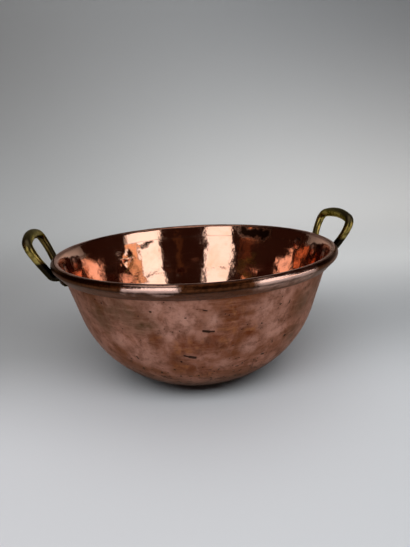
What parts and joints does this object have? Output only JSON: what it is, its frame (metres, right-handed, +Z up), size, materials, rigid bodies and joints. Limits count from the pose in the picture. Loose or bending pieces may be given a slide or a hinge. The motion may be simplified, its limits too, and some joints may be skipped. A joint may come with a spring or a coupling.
{
  "type": "jam pan",
  "caption": "Round-bottomed copper jam pan with a wired rim and an upright riveted loop handle at each side.",
  "frame": {"origin": "centre of the flat under the bowl, which is the lowest point and the middle of the bounding box", "axes": "+Z up along the bowl's axis, X through both handles with handle_right at +X"},
  "size_m": [0.4126, 0.36, 0.2053],
  "materials": {
    "sheet_copper": "satin",
    "iron_wire": "satin",
    "cast_brass": "satin",
    "rivet_copper": "satin"
  },
  "bodies": {
    "root": {"pan_body": "sheet_copper", "rim_wire": "iron_wire", "handle_right": "cast_brass", "handle_left": "cast_brass", "rivet_right_front": "rivet_copper", "rivet_right_middle": "rivet_copper", "rivet_right_back": "rivet_copper", "rivet_left_front": "rivet_copper", "rivet_left_middle": "rivet_copper", "rivet_left_back": "rivet_copper"}
  },
  "joints": []
}
